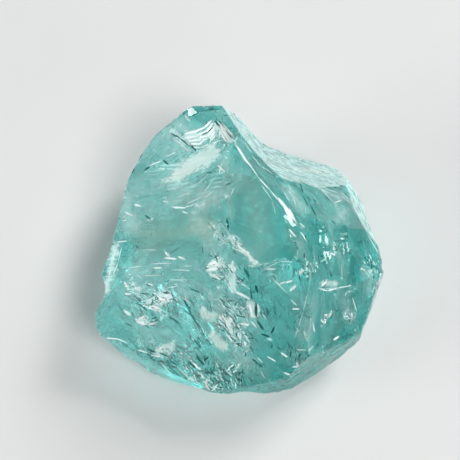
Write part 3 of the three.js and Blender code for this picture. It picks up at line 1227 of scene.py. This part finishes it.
@dataclass(frozen=True)
class Colouring:
    """The marks and tones that are written onto the chunk, as colours that its glass reads.

    Marks hold bruises that are partly painted light, painted glints, and dark lines painted as shade. Tones
    hold olive and deep aqua, both painted shade, pale, which is partly painted light, and calm. Ridges are
    painted light as highlights, and the creases between scars are painted dark as shade.

    Angles are in degrees, and areas in square millimetres. Slivers don't count as faces.
    """

    # Ridges are painted light as highlights, and creases painted dark as shade.
    ridge_highlight: float = 0.5
    crease_shade: float = 0.8
    sliver_area: float = 0.0003
    rubbed_angle: float = 34
    shaded_crease_angle: float = 12
    angle_range: float = 26

    def write(self, chunk: bpy.types.Object) -> None:
        """Writes the marks and tones onto the chunk.

        Args:
            chunk: The chunk, in millimetres.
        """
        surface, view = surface_of(chunk), Viewpoint()
        places = places_of(chunk.data)
        marks = np.zeros((len(places), 4))
        tones = np.zeros((len(places), 4))
        for mark in MARKS:
            start, end = (view.find(surface, spot) for spot in (mark.start, mark.end))
            share = mark.share(places, start, end)[:, None]
            marks = np.maximum(marks, share * (mark.bruise_light_and_shade, mark.glint, mark.crack, 0))
            tones = np.maximum(tones, share * (mark.olive_shade, mark.deep, mark.pale, mark.calm))
        # Painted highlights on ridges, and painted shade in creases.
        rubbed, shaded_creases = self._edges(chunk.data)
        marks[:, 0] = np.maximum(marks[:, 0], self.ridge_highlight * rubbed)
        marks[:, 2] = np.maximum(marks[:, 2], self.crease_shade * shaded_creases)
        paint(chunk.data, "marks", marks)
        paint(chunk.data, "tones", tones)

    def _edges(self, mesh: bpy.types.Mesh) -> tuple[np.ndarray, np.ndarray]:
        """Finds the ridges, painted light as highlights, and the creases, painted dark as shade.

        Args:
            mesh: The chunk's mesh.

        Returns:
            How sharp a ridge each vertex is on, and how sharp a crease, both from 0 to 1.
        """
        shape = bmesh.new()
        shape.from_mesh(mesh)
        sliver = self.sliver_area
        edges = [edge for edge in shape.edges if all(face.calc_area() > sliver for face in edge.link_faces)]
        bends = np.array([edge.calc_face_angle_signed(0) for edge in edges])
        ends = np.array([[vertex.index for vertex in edge.verts] for edge in edges])
        shape.free()
        sharpest = []
        for sign, angle in ((1, self.rubbed_angle), (-1, self.shaded_crease_angle)):
            sharp = np.zeros(len(mesh.vertices))
            share = (np.degrees(sign * bends) - angle) / self.angle_range
            np.maximum.at(sharp, ends.ravel(), np.repeat(np.clip(share, 0, 1), 2))
            sharpest.append(sharp)
        return sharpest[0], sharpest[1]


@dataclass(frozen=True)
class GlassChunk:
    """The chunk of glass, cut from a block by its fractures.

    Lengths are in millimetres and angles in degrees.
    """

    block_width: float = 40
    block_height: float = 22
    block_drop: float = 1
    smooth_angle: float = 24

    def build(self) -> bpy.types.Object:
        """Breaks the block down to the finished chunk, the largest breaks first.

        Returns:
            The chunk, in metres, with its place in its mesh.
        """
        chunk = self._block()
        flakes = [Flake(fracture, phase) for phase, fracture in enumerate(FRACTURES)]
        chips = [Chip(flake, index) for flake in flakes for index in range(flake.fracture.chips)]
        broken = [part.build() for part in (*flakes, *chips, Flake(REST))]
        cut(chunk, broken)
        log.info("broken down by %d flakes and chips", len(broken))
        nicks = NickedRidges().build(chunk)
        cut(chunk, nicks)
        log.info("its ridges have %d nicks", len(nicks))
        Colouring().write(chunk)
        hollows = OpenCracks(surface_of(chunk)).build()
        cut(chunk, hollows)
        log.info("it has %d small open cracks", len(hollows))
        self._close(chunk)
        self._finish(chunk)
        return chunk

    def _block(self) -> bpy.types.Object:
        """Makes the block of glass that everything is broken from.

        Returns:
            The block.
        """
        bpy.ops.object.select_all(action="DESELECT")
        bpy.ops.mesh.primitive_cube_add(size=1)
        block = bpy.context.object
        block.name = "andara_glass_chunk"
        size = Matrix.Diagonal((self.block_width, self.block_width, self.block_height, 1))
        block.data.transform(Matrix.Translation((0, 0, self.block_height / 2 - self.block_drop)) @ size)
        dress(block, np.zeros((len(block.data.vertices), 2)), CLEAN.value.finish)
        return block

    def _close(self, chunk: bpy.types.Object) -> None:
        """Clears away the crumbs that were broken loose, so one closed piece is left.

        Args:
            chunk: The chunk, in millimetres.
        """
        bpy.ops.object.mode_set(mode="EDIT")
        bpy.ops.mesh.select_mode(type="VERT")
        bpy.ops.mesh.select_all(action="DESELECT")
        shape = bmesh.from_edit_mesh(chunk.data)
        top = max(shape.verts, key=lambda corner: corner.co.z)
        top.select_set(True)
        bmesh.update_edit_mesh(chunk.data)
        bpy.ops.mesh.select_linked()
        bpy.ops.mesh.select_all(action="INVERT")
        bpy.ops.mesh.delete(type="VERT")
        bpy.ops.mesh.select_all(action="SELECT")
        bpy.ops.mesh.normals_make_consistent(inside=False)
        bpy.ops.object.mode_set(mode="OBJECT")

    def _finish(self, chunk: bpy.types.Object) -> None:
        """Brings the chunk to metres, and smooths its faces up to their ridges.

        Args:
            chunk: The chunk, in millimetres.
        """
        x, y = MIDDLE
        chunk.data.transform(Matrix.Scale(MM, 4) @ Matrix.Translation((-x, -y, 0)))
        bpy.ops.object.shade_smooth_by_angle(angle=math.radians(self.smooth_angle))


class Wire:
    """A value that flows between shader nodes, so that shader maths reads as plain sums."""

    def __init__(self, sheet: "NodeSheet", socket: bpy.types.NodeSocket) -> None:
        """Keeps the output that the value comes from, and the sheet that it is on."""
        self.sheet = sheet
        self.socket = socket

    def _math(self, operation: str, *values: "Wire | float") -> "Wire":
        """Returns the result of a Math node with these inputs, in order."""
        return self.sheet.node("ShaderNodeMath", {"operation": operation}, dict(enumerate(values)))

    def __add__(self, other: "Wire | float") -> "Wire":
        """Returns the sum."""
        return self._math("ADD", self, other)

    def __sub__(self, other: "Wire | float") -> "Wire":
        """Returns the difference."""
        return self._math("SUBTRACT", self, other)

    def __rsub__(self, other: float) -> "Wire":
        """Returns a number less this value."""
        return self._math("SUBTRACT", other, self)

    def __mul__(self, other: "Wire | float") -> "Wire":
        """Returns the product."""
        return self._math("MULTIPLY", self, other)

    def __abs__(self) -> "Wire":
        """Returns the size of the value, whatever its sign."""
        return self._math("ABSOLUTE", self)

    __radd__ = __add__
    __rmul__ = __mul__

    def clamped(self) -> "Wire":
        """Returns the value, held between 0 and 1."""
        return self._math("MINIMUM", self._math("MAXIMUM", self, 0), 1)

    def above(self, edge: float, soft: float) -> "Wire":
        """Returns a mask that leaves 0 where the value passes an edge, and reaches 1 a soft step later."""
        return ((self - edge) * (1 / soft)).clamped()


class NodeSheet:
    """A material's nodes, and the one way to add to them."""

    def __init__(self, name: str) -> None:
        """Starts an empty material.

        Args:
            name: The material's name.
        """
        self.material = bpy.data.materials.new(name)
        self.material.use_nodes = True
        self.tree = self.material.node_tree
        self.tree.nodes.clear()

    def node(
        self, kind: str, settings: dict | None = None, values: dict | None = None, out: int | str = 0
    ) -> Wire:
        """Adds a node.

        Args:
            kind: The node's type.
            settings: Its settings, which are set first.
            values: The values or wires of its inputs.
            out: The output that is used.

        Returns:
            That output, or nothing to wire if the node has none.
        """
        node = self.tree.nodes.new(kind)
        for name, value in (settings or {}).items():
            setattr(node, name, value)
        for name, value in (values or {}).items():
            if isinstance(value, Wire):
                self.tree.links.new(value.socket, node.inputs[name])
            else:
                node.inputs[name].default_value = value
        return Wire(self, node.outputs[out] if node.outputs else None)

    def scaled(self, vector: Wire, scale: Wire | float) -> Wire:
        """Returns a vector times a number."""
        return self.node("ShaderNodeVectorMath", {"operation": "SCALE"}, {0: vector, "Scale": scale})

    def channels(self, colour: Wire) -> tuple[Wire, Wire, Wire]:
        """Returns a colour's red, green and blue."""
        node = self.node("ShaderNodeSeparateColor", None, {"Color": colour}).socket.node
        return tuple(Wire(self, output) for output in node.outputs)

    def mixed(self, factor: Wire, first: "Wire | Colour", second: "Wire | Colour") -> Wire:
        """Returns a mix of two colours, which is all second where the factor is 1."""
        return self.node("ShaderNodeMix", {"data_type": "RGBA"}, {0: factor, 6: first, 7: second}, 2)

    def noise(
        self, place: Wire, stretch: Point, detail: float = 2, roughness: float = 0.5, twist: float = 0
    ) -> Wire:
        """Adds a noise texture.

        Args:
            place: Where it is read.
            stretch: How fine it is each way, per millimetre.
            detail: How many finer layers it has.
            roughness: How strong they are.
            twist: How much it is distorted.

        Returns:
            The noise, about 0.5 in the middle.
        """
        stretched = self.node("ShaderNodeVectorMath", {"operation": "MULTIPLY"}, {0: place, 1: stretch})
        values = {"Vector": stretched, "Scale": 1.0}
        values |= {"Detail": detail, "Roughness": roughness, "Distortion": twist}
        return self.node("ShaderNodeTexNoise", None, values)

    def cloud(self, place: Wire, fineness: float, detail: float = 2, roughness: float = 0.5) -> Wire:
        """Returns a noise that is as fine each way."""
        return self.noise(place, (fineness, fineness, fineness), detail, roughness)

    def painted(self, name: str) -> tuple[Wire, ...]:
        """Reads a colour that is written onto the mesh.

        Args:
            name: The attribute's name.

        Returns:
            Its red, green, blue and alpha.
        """
        colour = self.node("ShaderNodeAttribute", {"attribute_name": name}, out="Color")
        alpha = self.node("ShaderNodeAttribute", {"attribute_name": name}, out="Alpha")
        return *self.channels(colour), alpha


class GlassReadings:
    """What the glass is mixed from: the colours written onto the mesh, and the noises that are shared."""

    def __init__(self, glass: "AquaGlass") -> None:
        """Starts the material and reads what several of its parts need.

        Args:
            glass: The glass, which says how fine the noises are.
        """
        self.sheet = NodeSheet("aqua andara glass")
        self.grain = self.sheet.node("ShaderNodeUVMap", {"uv_map": "grain"})
        self.place = self.sheet.scaled(self.sheet.node("ShaderNodeTexCoord", out="Object"), 1 / MM)
        # The finish's third channel holds walls painted white as highlights and dark as shade; marks and
        # tones hold painted glints, light and shade.
        struck, self.ripple, self.rubbed, self.rough = self.sheet.painted("finish")
        self.bruise_light_and_shade, self.glint, self.crack = self.sheet.painted("marks")[:3]
        self.olive_shade, self.deep, self.pale, self.calm = self.sheet.painted("tones")
        self.hackle = (struck - self.calm * glass.calming).clamped()
        self.uneven = self.sheet.cloud(self.place, glass.slow_cloud)
        self.soft = self.sheet.cloud(self.place, glass.soft_cloud, 3, 0.6)
        self.cluster = self.sheet.cloud(self.place, glass.cluster_cloud).above(*glass.cluster_edge)
        lines = self.sheet.noise(self.grain, glass.line_stretch, 4, 0.6, 0.8)
        self.ridges = 1 - 2 * abs(lines - 0.5)
        self.strokes = self.sheet.noise(self.grain, glass.stroke_stretch, 3, 0.6, 0.6)


@dataclass(frozen=True)
class AquaGlass:
    """Clear aqua glass, polished where it broke cleanly and bruised white where it was crushed, with painted
    highlights, glints, light and shade mixed into its colour.

    A cloud's number and a stretch say how fine a noise is, per millimetre. An edge holds the value where a
    mask leaves 0, and how much more takes it to 1. A number named after two things, such as calm_flecks, says
    how strongly the first counts in the second.
    """

    pure: Colour = (0.84, 1.0, 0.99, 1)
    # Olive tint, painted shade of the shaded floor seen through the glass.
    olive_shade: Colour = (0.93, 0.88, 0.74, 1)
    # Deep aqua, painted shade.
    deep: Colour = (0.3, 0.8, 0.77, 1)
    # Dark, painted shade in cracks and creases.
    dark: Colour = (0.01, 0.08, 0.08, 1)
    # Milky white, partly crushed glass and partly painted light for highlights, reflections and pale tones.
    crushed: Colour = (0.74, 0.98, 0.96, 1)
    # Solid white, painted highlights and glints.
    bright: Colour = (0.93, 1.0, 0.99, 1)
    tint: Colour = (0.1, 0.965, 0.945, 1)
    density: float = 44
    ior: float = 1.5
    ridge_height: float = 0.28
    stroke_height: float = 0.1
    ripple_height: float = 0.02
    ripple_turns: float = 13
    ripple_bends: float = 22
    slow_cloud: float = 0.25
    soft_cloud: float = 0.9
    broken_cloud: float = 1.1
    cluster_cloud: float = 0.5
    line_stretch: Point = (0.35, 1.2, 1)
    stroke_stretch: Point = (1.0, 3.0, 1)
    bend_stretch: Point = (0.25, 0.25, 1)
    spark_stretch: Point = (1.3, 4.6, 1)
    broken_edge: Edge = (0.41, 0.08)
    cluster_edge: Edge = (0.47, 0.12)
    split_edge: Edge = (0.88, 0.05)
    fine_edge: Edge = (0.58, 0.05)
    fleck_edge: Edge = (0.68, 0.02)
    worn_edge: Edge = (1.7, 0.5)
    calming: float = 0.8
    hackle_splits: float = 0.9
    hackle_fine_splits: float = 0.5
    glint_flecks: float = 0.15
    hackle_flecks: float = 0.07
    calm_flecks: float = -0.1
    worn_bruise: float = 1.5
    worn_noise: float = 1.2
    worn_milk: float = 0.25
    pale_milk: float = 0.42
    olive_milk: float = 0.22
    even_milk: float = 0.3
    cloudy_milk: float = 1.4
    olive_share: float = 0.9
    olive_gaps: float = -0.4
    deep_clouds: float = -0.5
    milk_olive: float = 0.8
    stroke_roughness: float = 0.05
    milk_roughness: float = 0.2
    crushed_roughness: float = 0.45
    crushed_transmission: float = 0.3
    bright_roughness: float = 0.3

    def material(self) -> bpy.types.Material:
        """Makes the glass.

        Returns:
            Its material.
        """
        read = GlassReadings(self)
        sheet, normal, milk = read.sheet, self._normal(read), self._milk(read)
        stroked = read.hackle * read.strokes * self.stroke_roughness
        roughness = read.rough + stroked + milk * self.milk_roughness
        # The milky shader takes the olive painted shade as a tint.
        milky = sheet.mixed(read.olive_shade.clamped() * self.milk_olive, self.crushed, self.olive_shade)
        glass = self._shade(sheet, self._clear(read), roughness, normal, transmission=1)
        crushed = self._shade(sheet, milky, self.crushed_roughness, normal, self.crushed_transmission)
        # Walls painted solid white, as highlights and glints.
        bright_walls = self._shade(sheet, self.bright, self.bright_roughness, normal, transmission=0)
        bruised_and_lit = sheet.node("ShaderNodeMixShader", None, {0: milk, 1: glass, 2: crushed})
        surface = sheet.node("ShaderNodeMixShader", None, {0: self._white(read), 1: bruised_and_lit, 2: bright_walls})
        depth = sheet.node("ShaderNodeVolumeAbsorption", None, {"Color": self.tint, "Density": self.density})
        sheet.node("ShaderNodeOutputMaterial", None, {"Surface": surface, "Volume": depth})
        return sheet.material

    def _normal(self, read: GlassReadings) -> Wire:
        """Adds the fine relief: ridges and strokes along the grain, and ripples across it.

        Args:
            read: What the glass is mixed from.

        Returns:
            The normals.
        """
        sheet = read.sheet
        across = sheet.node("ShaderNodeSeparateXYZ", None, {"Vector": read.grain}, "Y")
        bend = sheet.noise(read.grain, self.bend_stretch, 1)
        turns = across * self.ripple_turns + bend * self.ripple_bends
        waves = sheet.node("ShaderNodeMath", {"operation": "SINE"}, {0: turns})
        height = (read.ridges * self.ridge_height + read.strokes * self.stroke_height) * read.hackle
        height = height + waves * read.ripple * read.uneven * self.ripple_height
        relief = {"Strength": 1.0, "Distance": MM, "Height": height}
        return sheet.node("ShaderNodeBump", None, relief, "Normal")

    def _clear(self, read: GlassReadings) -> Wire:
        """Adds the colour of the clear glass, with its tones and its fine dark cracks: the olive and deep
        tones are painted shade, and the dark lines are painted shade as well.

        Args:
            read: What the glass is mixed from.

        Returns:
            The colour.
        """
        sheet = read.sheet
        broken = sheet.cloud(read.place, self.broken_cloud).above(*self.broken_edge)
        split = broken * (read.hackle * self.hackle_splits + read.crack).clamped()
        fine = read.cluster * (read.hackle * self.hackle_fine_splits + read.crack).clamped()
        # Fine dark lines, painted shade in the hackle and along the crack marks.
        cracks = read.ridges.above(*self.split_edge) * split + read.strokes.above(*self.fine_edge) * fine
        # Olive and deep aqua are painted shade.
        olive_shade = (read.olive_shade * self.olive_share + read.uneven * self.olive_gaps).clamped()
        deep = (read.deep + (read.soft - 0.5) * self.deep_clouds).clamped()
        toned_glass = sheet.mixed(deep, sheet.mixed(olive_shade, self.pure, self.olive_shade), self.deep)
        # Dark lines and dark crack walls are painted shade; walls painted white stay clear of it.
        return sheet.mixed((cracks - read.rubbed).clamped(), toned_glass, self.dark)

    def _white(self, read: GlassReadings) -> Wire:
        """Finds what is painted solid white, as glints and highlights: the flecks, and the walls of the
        bright cracks.

        Args:
            read: What the glass is mixed from.

        Returns:
            The share of white, from 0 to 1.
        """
        sparks = read.sheet.noise(read.grain, self.spark_stretch, 3)
        sparks = sparks + read.glint * self.glint_flecks + read.calm * self.calm_flecks
        flecks = (sparks + read.hackle * read.cluster * self.hackle_flecks).above(*self.fleck_edge)
        return (flecks + (read.rubbed - 1).clamped()).clamped()

    def _milk(self, read: GlassReadings) -> Wire:
        """Finds how milky the glass is, from its bruises and ridges, partly painted light, its pale tones,
        partly painted light, and its olive tones, painted shade.

        Args:
            read: What the glass is mixed from.

        Returns:
            The share of milk, from 0.
        """
        # Bruises, ridges painted light and white walls make the glass milky; pale tones add painted light and
        # olive ones painted shade.
        bruised_and_lit = (read.bruise_light_and_shade + read.rubbed.clamped()) * self.worn_bruise
        bruised_and_lit_mask = (bruised_and_lit + (read.soft + read.strokes) * self.worn_noise).above(*self.worn_edge)
        toned_milk = read.pale * self.pale_milk + read.olive_shade * self.olive_milk
        clouds = self.even_milk + read.soft * self.cloudy_milk
        return bruised_and_lit_mask * (read.strokes + self.worn_milk) + toned_milk * clouds

    def _shade(
        self,
        sheet: NodeSheet,
        colour: Wire | Colour,
        roughness: Wire | float,
        normal: Wire,
        transmission: float,
    ) -> Wire:
        """Adds one of the glass's shaders.

        Args:
            sheet: The material's nodes.
            colour: Its colour.
            roughness: Its roughness.
            normal: The fine relief.
            transmission: How much light goes through.

        Returns:
            The shader.
        """
        values = {"Base Color": colour, "Roughness": roughness, "Normal": normal}
        values |= {"IOR": self.ior, "Transmission Weight": transmission}
        return sheet.node("ShaderNodeBsdfPrincipled", None, values)


@dataclass(frozen=True)
class PaleFloor:
    """The plain pale floor."""

    width: float = 1.2
    drop: float = 0.00003
    pale: Colour = (0.68, 0.69, 0.68, 1)
    paler: Colour = (0.73, 0.735, 0.73, 1)

    def build(self) -> bpy.types.Object:
        """Makes the floor.

        Returns:
            The floor.
        """
        bpy.ops.object.select_all(action="DESELECT")
        bpy.ops.mesh.primitive_plane_add(size=self.width, location=(0, 0, -self.drop))
        floor = bpy.context.object
        floor.name = "floor"
        sheet = NodeSheet("pale floor")
        place = sheet.scaled(sheet.node("ShaderNodeTexCoord", out="Object"), 1 / MM)
        mottle = sheet.cloud(place, 0.05, 3)
        colour = sheet.mixed(mottle, self.pale, self.paler)
        matt = sheet.node("ShaderNodeBsdfPrincipled", None, {"Base Color": colour, "Roughness": 0.9})
        sheet.node("ShaderNodeOutputMaterial", None, {"Surface": matt})
        floor.data.materials.append(sheet.material)
        return floor


@dataclass(frozen=True)
class SoftBox:
    """A square area light, aimed at the chunk. Angles are in degrees and lengths in metres.

    Args:
        name: The light's name.
        turn: Where it stands, anticlockwise from +X.
        lift: How high it stands above the level.
        size: How wide it is.
        watts: Its power.
        away: How far away it is.
    """

    name: str
    turn: float
    lift: float
    size: float
    watts: float
    away: float = 0.8

    def build(self) -> None:
        """Makes the light."""
        turn, lift = math.radians(self.turn), math.radians(self.lift)
        level = math.cos(lift)
        place = Vector((level * math.cos(turn), level * math.sin(turn), math.sin(lift))) * self.away
        bpy.ops.object.light_add(type="AREA", location=place)
        box = bpy.context.object
        box.name = self.name
        box.data.shape = "SQUARE"
        box.data.size = self.size
        box.data.energy = self.watts
        box.rotation_euler = (-place).to_track_quat("-Z", "Y").to_euler()


@dataclass(frozen=True)
class Studio:
    """The soft lights, and the camera that looks steeply down."""

    boxes: tuple[SoftBox, ...] = (
        SoftBox("window", 45, 38, 0.3, 4.3),
        SoftBox("fill", -45, 55, 0.4, 3.3),
        SoftBox("low card", 192, 12, 0.4, 4.0),
    )
    sky: Colour = (0.62, 0.64, 0.65, 1)
    sky_strength: float = 0.3
    sensor: float = 36

    def build(self) -> None:
        """Makes the lights and the camera."""
        world = bpy.data.worlds.new("soft studio")
        world.use_nodes = True
        background = world.node_tree.nodes["Background"]
        background.inputs["Color"].default_value = self.sky
        background.inputs["Strength"].default_value = self.sky_strength
        bpy.context.scene.world = world
        for box in self.boxes:
            box.build()
        self._camera()

    def _camera(self) -> None:
        """Makes the camera."""
        view = Viewpoint()
        aim = (Vector(view.aim) - Vector((*MIDDLE, 0))) * MM
        bpy.ops.object.camera_add(location=aim + view.back() * view.away * MM)
        camera = bpy.context.object
        camera.name = "camera"
        camera.rotation_euler = (-view.back()).to_track_quat("-Z", "Y").to_euler()
        camera.data.sensor_width = self.sensor
        camera.data.lens = self.sensor * view.sight / view.view_width
        camera.data.clip_start = 0.005
        bpy.context.scene.camera = camera


def main() -> None:
    """Builds the chunk, the floor, the lights and the camera, and measures the result."""
    logging.basicConfig(level=logging.INFO, format="%(message)s")
    Studio().build()
    PaleFloor().build()
    chunk = GlassChunk().build()
    chunk.data.materials.clear()
    chunk.data.materials.append(AquaGlass().material())
    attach(chunk, "root")
    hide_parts(NODE)
    log.info("%s: %d faces", chunk.name, len(chunk.data.polygons))
    bpy.context.scene.view_settings.view_transform = "Standard"


if __name__ == "__main__":
    main()
